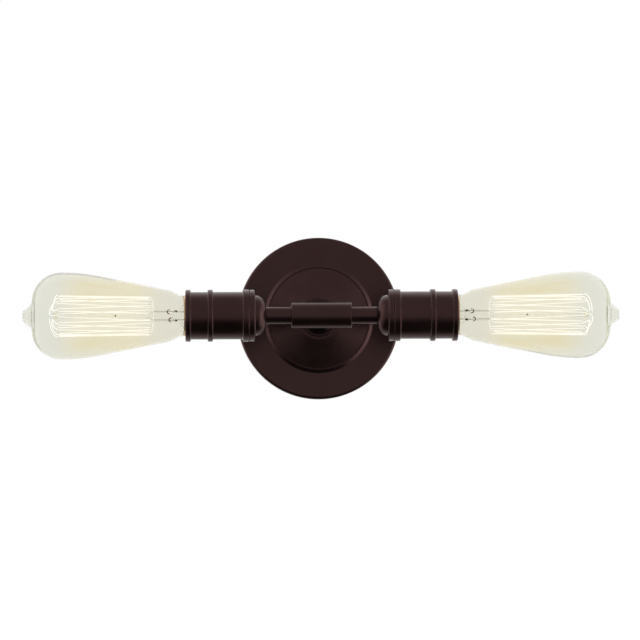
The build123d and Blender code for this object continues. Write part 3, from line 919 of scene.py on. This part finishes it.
def make_screw_shell(side, hand):
    """Brass shell with a rolled thread, open towards the bulb."""
    low, high = along(f"screw_shell_{hand}")
    outer_r = half_height(f"screw_shell_{hand}")
    inner_r = outer_r - base_sheet
    eye_r = 7.6 * mm
    land = 1.0 * mm
    cut_start, cut_end = low + land, high - land
    foot_round, foot_back_round = 0.5 * mm, 0.2 * mm
    row_step = base_pitch / coarse_rows
    outline = [
        (eye_r, low),
        (outer_r, low, foot_round),
        *rows((outer_r, cut_start), (outer_r, cut_end), row_step),
        (outer_r, high, sheet_round),
        (inner_r, high, sheet_round),
        *rows((inner_r, cut_end), (inner_r, cut_start), row_step),
        (inner_r, low + base_sheet, foot_back_round),
        (eye_r, low + base_sheet),
    ]
    dip = thread_dip(cut_start, cut_end, base_pitch, base_depth, eye_r + land)
    made = lathe(f"rolled_shell_{hand}", outline, light_place(side), dip=dip)
    finished(made, "root", "brass", f"screw_shell_{hand}")


def make_leads(side, hand):
    """Black and white fixture wires from a socket's terminals to the wire nuts."""
    place = 1.63 * mm
    terminal = 6.6 * mm
    straight = 4.0 * mm
    gather = 7.65 * mm
    cap_bend_r, hub_bend_r, wall_bend_r = 3.0 * mm, 6.0 * mm, 5.0 * mm
    for colour, up in (("black", 1), ("white", -1)):
        node = f"{colour}_lead_{hand}"
        low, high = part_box(node)
        far = along(node)[1]
        depth = high.y - lead_r
        end = max(abs(low.z), abs(high.z))
        points = [
            (side * far, -projection, up * terminal),
            (side * (far - straight), -projection, up * terminal),
            (side * (far - gather), -projection, up * place),
            (side * place, -projection, up * place),
            (side * place, depth, up * place),
            (side * place, depth, up * end),
        ]
        path = bent(points, [cap_bend_r, cap_bend_r, hub_bend_r, wall_bend_r])
        made = strand(f"{colour}_cord_{hand}", [path], lead_r)
        finished(made, "root", f"{colour}_wire", node)


# Bulbs


def make_base(side, hand):
    """Brass screw base with a rolled thread and a flared skirt."""
    low, rim = along(f"bulb_base_{hand}")
    base_r = 13.1 * mm
    skirt_r = 13.4 * mm
    lip_r = half_height(f"bulb_base_{hand}")
    foot_r = 10.25 * mm
    shoulder = low + 1.6 * mm
    skirt = rim - 5.2 * mm
    flare = rim - 1.8 * mm
    lip = rim - 1.0 * mm
    land = 0.5 * mm
    cut_start, cut_end = shoulder + land, skirt - land
    shoulder_round = 0.4 * mm
    skirt_round = 0.2 * mm
    flare_round, flare_back_round = 0.6 * mm, 1.0 * mm
    lip_round = 0.3 * mm
    row_step = base_pitch / coarse_rows
    outline = [
        (foot_r, low),
        (base_r, shoulder, shoulder_round),
        *rows((base_r, cut_start), (base_r, cut_end), row_step),
        (base_r, skirt, skirt_round),
        (skirt_r, skirt, skirt_round),
        (skirt_r, flare, flare_round),
        (lip_r, lip, lip_round),
        (lip_r, rim, sheet_round),
        (lip_r - base_sheet, rim, sheet_round),
        (skirt_r - base_sheet, flare, flare_back_round),
        (skirt_r - base_sheet, skirt + base_sheet),
        (base_r - base_sheet, skirt + base_sheet),
        *rows((base_r - base_sheet, cut_end), (base_r - base_sheet, cut_start), row_step),
        (base_r - base_sheet, shoulder + base_sheet),
        (foot_r, low + base_sheet),
    ]
    dip = thread_dip(cut_start, cut_end, base_pitch, base_depth, foot_r + land)
    made = lathe(f"screw_base_{hand}", outline, light_place(side), dip=dip)
    finished(made, f"{hand}_bulb", "brass", f"bulb_base_{hand}")


def make_glass(side, hand):
    """Blown envelope, its outer and inner skin."""
    foot, tip = along(f"bulb_glass_{hand}")
    wall = 0.7 * mm
    tip_wall = 1.1 * mm
    rim = foot + 4.2 * mm
    swell = 1.2 * mm
    neck = rim + 3.2 * mm
    flare = neck + 6.7 * mm
    cone = flare + 65.5 * mm
    crown = tip - 6.9 * mm
    seal_r = 12.95 * mm
    neck_r = 15.3 * mm
    flare_r = 18.9 * mm
    belly_r = half_height(f"bulb_glass_{hand}")
    pip_r = 9.2 * mm
    pip_end_r = 3.1 * mm
    seal_round = 1.0 * mm
    swell_round = 1.5 * mm
    neck_round = 4.0 * mm
    flare_round = 14.0 * mm
    cone_round = 130.0 * mm
    dome_round = 21.7 * mm
    pip_round, pip_back_round = 1.2 * mm, 1.5 * mm
    pip_end_round, pip_end_back_round = 2.6 * mm, 1.8 * mm
    outline = [
        (seal_r, foot),
        (seal_r, rim - swell, seal_round),
        (neck_r, rim + swell, swell_round),
        (neck_r, neck, neck_round),
        (flare_r, flare, flare_round),
        (belly_r, cone, cone_round),
        (belly_r, crown, dome_round),
        (pip_r, crown, pip_round),
        (pip_end_r, tip, pip_end_round),
        (0, tip),
    ]
    inner = [
        (0, tip - tip_wall),
        (pip_end_r - wall, tip - tip_wall, pip_end_back_round),
        (pip_r - wall, crown - wall, pip_back_round),
        (belly_r - wall, crown - wall, dome_round - wall),
        (belly_r - wall, cone, cone_round),
        (flare_r - wall, flare, flare_round),
        (neck_r - wall, neck, neck_round),
        (neck_r - wall, rim + swell, seal_round),
        (seal_r - wall, rim - swell, seal_round),
        (seal_r - wall, foot),
    ]
    skin = lathe_skin(outline + inner, steps=glass_steps)
    made = mesh_object(f"envelope_{hand}", *skin, light_place(side))
    finished(made, f"{hand}_bulb", "bulb_glass", f"bulb_glass_{hand}")


def make_stem_glass(side, hand):
    """Flared glass stem, pinched press and long rod with a button at each end of the cage."""
    low = along(f"glass_stem_{hand}")[0]
    inner, outer = cage_ends(hand)
    wall = 0.6 * mm
    flare_r = half_height(f"glass_stem_{hand}")
    flare_round = 0.2 * mm
    tube = low + stem_flare
    press = tube + stem_tube
    stem_r = 4.1 * mm
    bore_r = stem_r - wall
    press_thin, press_wide = 1.8 * mm, 4.3 * mm
    rod_r = 1.2 * mm
    button_r = 2.4 * mm
    shoulder_r = button_r - 0.3 * mm
    flare = [
        (bore_r, tube),
        (flare_r - wall, low),
        (flare_r, low, flare_round),
        (stem_r, tube),
    ]
    made = lathe(f"stem_flare_{hand}", flare, light_place(side))
    finished(made, f"{hand}_bulb", "stem_glass", look=flare_glass)

    def round_at(place, steps):
        """Round sections, so many millimetres from a place."""
        return [(place + step * mm, size, size) for step, size in steps]

    bore_end = [(-1.0, 0), (-1.4, stem_r / 2), (-3.0, bore_r)]
    pinch = [
        (2.5, 2.6 * mm, 4.2 * mm),
        (5.0, press_thin, press_wide),
        (9.5, press_thin, press_wide),
        (11.5, press_thin, 3.9 * mm),
        (12.5, 1.7 * mm, 2.8 * mm),
        (12.9, button_r - 0.8 * mm, button_r - 0.6 * mm),
    ]
    near_button = [(0, button_r), (1.0, button_r - 0.4 * mm), (2.0, rod_r)]
    far_button = [(-0.2, rod_r), (0.4, shoulder_r), (1.5, button_r), (2.6, shoulder_r), (3.2, rod_r)]
    rod_end = [(6.2, rod_r), (7.2, 0)]
    sections = [
        *round_at(press, bore_end),
        (tube, bore_r, bore_r),
        (tube, stem_r, stem_r),
        (press, stem_r, stem_r),
        *[(press + step * mm, thin, wide) for step, thin, wide in pinch],
        *round_at(inner, near_button),
        *round_at(outer, far_button + rod_end),
    ]
    made = mesh_object(f"stem_rod_{hand}", *oval_skin(sections), light_place(side))
    finished(made, f"{hand}_bulb", "stem_glass", f"glass_stem_{hand}")


def cage_point(angle, height, radius):
    """Point at an angle round the bulb's axis, from the side away from the room."""
    turn = pi + angle
    return Vector((radius * cos(turn), radius * sin(turn), height))


def make_filament(side, hand):
    """One wire that zigzags over nine outer and eight inner hooks."""
    inner, outer = cage_ends(hand)
    seat_half = 0.9 * mm

    def hop(angle, height, radius):
        half = seat_half / radius
        return [cage_point(angle - half, height, radius), cage_point(angle + half, height, radius)]

    path = [cage_point(filament_end_angle, inner, cage_root_r)]
    for hook in range(cage_hooks):
        path += hop((hook + 0.5) * hook_turn, outer, cage_r)
        if hook < cage_hooks - 1:
            path += hop((hook + 1) * hook_turn, inner, cage_root_r)
    path.append(cage_point(-filament_end_angle, inner, cage_root_r))
    made = strand(f"filament_wire_{hand}", [path], filament_r, light_place(side))
    finished(made, f"{hand}_bulb", "glowing_wire", f"filament_{hand}")


def rib(angle, root, ring, ring_r):
    """Support wire that curves from the rod to the cage."""
    root_r = 1.0 * mm
    steps = 12
    reach = ring_r + hook_r - root_r
    turns = [pi / 2 * k / steps for k in range(steps + 1)]
    return [cage_point(angle, ring + (root - ring) * cos(t), root_r + reach * sin(t)) for t in turns]


def rib_hook(angle, root, ring, ring_r):
    """Hook at a rib's end, round the filament."""
    back = -hook_r if root > ring else hook_r
    turns = [radians(a) for a in range(0, 201, 25)]
    return [cage_point(angle, ring + back * sin(t), ring_r + hook_r * cos(t)) for t in turns]


def ball(half, wide):
    """Small oval bead along local Z."""
    turns = [radians(a) for a in range(-60, 61, 30)]
    rings = [(half * sin(turn), wide * cos(turn), wide * cos(turn)) for turn in turns]
    return oval_skin([(-half, 0, 0), *rings, (half, 0, 0)], steps=16)


def make_supports(side, hand):
    """Ribs and hooks that hold the filament's outer and inner turns, and the anchor on the rod."""
    body = f"{hand}_bulb"
    place = light_place(side)
    inner, outer = cage_ends(hand)
    outer_rib_r, inner_rib_r, fine_r = 0.24 * mm, 0.07 * mm, 0.15 * mm
    outer_root, inner_root = outer + 4.0 * mm, inner - 2.2 * mm
    root_stagger = 1.1 * mm
    cap_half, cap_r = 1.8 * mm, 4.4 * mm
    cap_place = outer + 4.6 * mm
    outer_ends = []
    for k in range(cage_hooks):
        outer_ends.append(((k + 0.5) * hook_turn, outer_root + k % 3 * root_stagger, outer, cage_r))
    inner_ends = [((k + 1) * hook_turn, inner_root, inner, cage_root_r) for k in range(cage_hooks - 1)]
    # The outer ribs glow faintly: painted highlight.
    made = strand(f"outer_ribs_{hand}", [rib(*end) for end in outer_ends], outer_rib_r, place)
    finished(made, body, "dark_wire", f"support_wires_{hand}", look=painted_glint_wire)
    # The rib cap glows faintly: painted highlight at the cage's far end.
    cap = moved(ball(cap_half, cap_r), Matrix.Translation((0, 0, cap_place)))
    finished(mesh_object(f"rib_cap_{hand}", *cap, place), body, "dark_wire", look=milky_painted_glow_glass)
    # The inner ribs glow faintly as well: painted highlight.
    made = strand(f"inner_ribs_{hand}", [rib(*end) for end in inner_ends], inner_rib_r, place)
    finished(made, body, "dark_wire", look=painted_glint_wire)
    hooks = [rib_hook(*end) for end in outer_ends + inner_ends]
    anchor_place = inner + 25.4 * mm
    anchor_reach = cage_r / 3
    bead_r = 0.7 * mm
    hooks.append([Vector((0, 0, anchor_place)), Vector((anchor_reach, 0, anchor_place))])
    finished(strand(f"rib_hooks_{hand}", hooks, fine_r, place), body, "dark_wire")
    bead = moved(ball(bead_r, bead_r), Matrix.Translation((anchor_reach, 0, anchor_place)))
    finished(mesh_object(f"anchor_bead_{hand}", *bead, place), body, "dark_wire")


def make_lead_ins(side, hand):
    """Two lead-in wires through the press to the filament's ends, clamped in copper loops."""
    inner = cage_ends(hand)[0]
    start = along(f"lead_in_wires_{hand}")[0]
    knot_place = along(f"glass_stem_{hand}")[0] + stem_flare + stem_tube
    knot_stagger = 0.6 * mm
    knot_r = 1.5 * mm
    apart = 2.9 * mm
    rise, elbow, overlap = 1.8 * mm, 0.9 * mm, 0.4 * mm
    bends = [0.8 * mm, 0.3 * mm]
    paths = []
    knots = []
    for up in (-1, 1):
        end = -up * filament_end_angle
        points = [
            (0, up * apart, start),
            (0, up * apart, inner - rise),
            cage_point(end, inner - elbow, cage_root_r),
            cage_point(end, inner + overlap, cage_root_r),
        ]
        paths.append(bent(points, bends))
        knots.append(Vector((0, up * apart, knot_place + up * knot_stagger)))
    made = strand(f"lead_in_pair_{hand}", paths, wire_r, light_place(side))
    finished(made, f"{hand}_bulb", "dark_wire", f"lead_in_wires_{hand}")
    turns = [radians(a) for a in range(-100, 101, 20)]
    loops = [[spot + knot_r * Vector((0, sin(t), cos(t))) for t in turns] for spot in knots]
    made = strand(f"knot_pair_{hand}", loops, 2 * wire_r, light_place(side))
    finished(made, f"{hand}_bulb", "dark_wire", look=copper)


make_canopy()
make_stem()
make_nipple()
make_studs()
make_wire_nuts()
make_ground_lead()
make_hub()
for side, hand in SIDES:
    make_arm(side, hand)
    make_socket(side, hand)
    make_screw_shell(side, hand)
    make_leads(side, hand)
    make_base(side, hand)
    make_glass(side, hand)
    make_stem_glass(side, hand)
    make_filament(side, hand)
    make_supports(side, hand)
    make_lead_ins(side, hand)


# CAD nodes that keep their own shape

slot_of = {row["node"]: row["material_slot"] for row in frame["record"]["subparts"]}
for name, node in frame["nodes"].items():
    node.data.materials.clear()
    node.data.materials.append(MATERIALS[slot_of[name]])


# Floor, light and camera


def make_floor():
    """Pale floor well below the sconce. The metal doesn't mirror it, and the eye sees it white."""
    half = 60.0
    level = -2.1
    dark_dust, light_dust = (0.86, 0.86, 0.86), (0.9, 0.9, 0.9)
    lift = 0.18
    corners = [(-half, -half, level), (half, -half, level), (half, half, level), (-half, half, level)]
    floor = mesh_object("floor", corners, [(0, 1, 2, 3)], smooth=False)
    shader = Shader("pale_floor")
    shader.set(Roughness=0.7, Emission_Color=(lift, lift, lift, 1))
    shader.link(*shader.seen(), shader.surface, "Emission Strength")
    dust = shader.noise(6, detail=3)
    shader.feed(shader.ramp(dust, [(0.3, dark_dust), (0.7, light_dust)]), "Base Color")
    floor.data.materials.append(shader.material)
    floor.visible_glossy = False


def make_world():
    """White to the eye and through glass. As light it is bright behind and beside, and dark below.

    The zones are on a sphere of radius one, in height, towards the wall and to either side.
    """
    sky_zone, below_light, sky_light = (-0.6, -0.1), 0.07, 0.60
    backdrop_zone, backdrop_light = (0.05, 0.45), 0.7
    side_zone, side_light = (0.5, 1.0), 0.75
    most_light = 1.4
    white = 1.0
    world = bpy.data.worlds.new("studio")
    world.use_nodes = True
    bpy.context.scene.world = world
    nodes = Nodes(world.node_tree)
    x, y, z = nodes.split(nodes.add("ShaderNodeTexCoord"), "Generated")
    sky = nodes.step(z, *sky_zone, low=below_light, high=sky_light)
    backdrop = nodes.step(y, *backdrop_zone, high=backdrop_light)
    sides = nodes.step(nodes.math("ABSOLUTE", x), *side_zone, high=side_light)
    light = nodes.math("ADD", nodes.math("ADD", sky, backdrop), sides)
    strength = nodes.add("ShaderNodeMix", data_type="FLOAT")
    nodes.link(*nodes.seen(), strength, "Factor")
    nodes.link(*nodes.math("MINIMUM", light, most_light), strength, "A")
    strength.inputs["B"].default_value = white
    background = nodes.add("ShaderNodeBackground")
    background.inputs["Color"].default_value = (1, 1, 1, 1)
    nodes.link(strength, "Result", background, "Strength")
    output = nodes.add("ShaderNodeOutputWorld")
    nodes.link(background, "Background", output, "Surface")


def make_lamp(name, place, size, power):
    """Soft box that faces the sconce. It lights it but isn't seen, not even through the glass."""
    data = bpy.data.lights.new(name, "AREA")
    data.shape = "RECTANGLE"
    data.size, data.size_y = size
    data.energy = power
    lamp = placed(name, data)
    lamp.location = Vector(place)
    lamp.rotation_mode = "QUATERNION"
    lamp.rotation_quaternion = (hub_middle - lamp.location).to_track_quat("-Z", "Y")
    lamp.visible_camera = False
    lamp.visible_transmission = False


def make_camera():
    """Long lens, a little to the left of the sconce and below it."""
    data = bpy.data.cameras.new("camera")
    camera = placed("camera", data)
    azimuth, elevation = radians(camera_azimuth), radians(camera_elevation)
    back = Vector((sin(azimuth) * cos(elevation), -cos(azimuth) * cos(elevation), sin(elevation)))
    right = Vector((cos(azimuth), sin(azimuth), 0))
    up = back.cross(right)
    off_x = (hub_pixel_x - image_pixels / 2) * metres_per_pixel
    off_y = (hub_pixel_y - image_pixels / 2) * metres_per_pixel
    aim = hub_middle - right * off_x + up * off_y
    camera.location = aim + back * camera_distance
    camera.rotation_mode = "QUATERNION"
    roll = Quaternion((0, 0, 1), radians(camera_roll))
    camera.rotation_quaternion = (-back).to_track_quat("-Z", "Y") @ roll
    data.lens = data.sensor_width * camera_distance / (metres_per_pixel * image_pixels)
    data.clip_start, data.clip_end = 0.1, 50
    bpy.context.scene.camera = camera


make_floor()
make_world()
make_camera()
make_lamp("key_box", place=(-1.6, -0.9, 1.3), size=(1.8, 1.8), power=3)
make_lamp("fill_box", place=(1.9, -0.75, -0.55), size=(1.8, 3.0), power=15)
bpy.context.scene.view_settings.view_transform = "Standard"
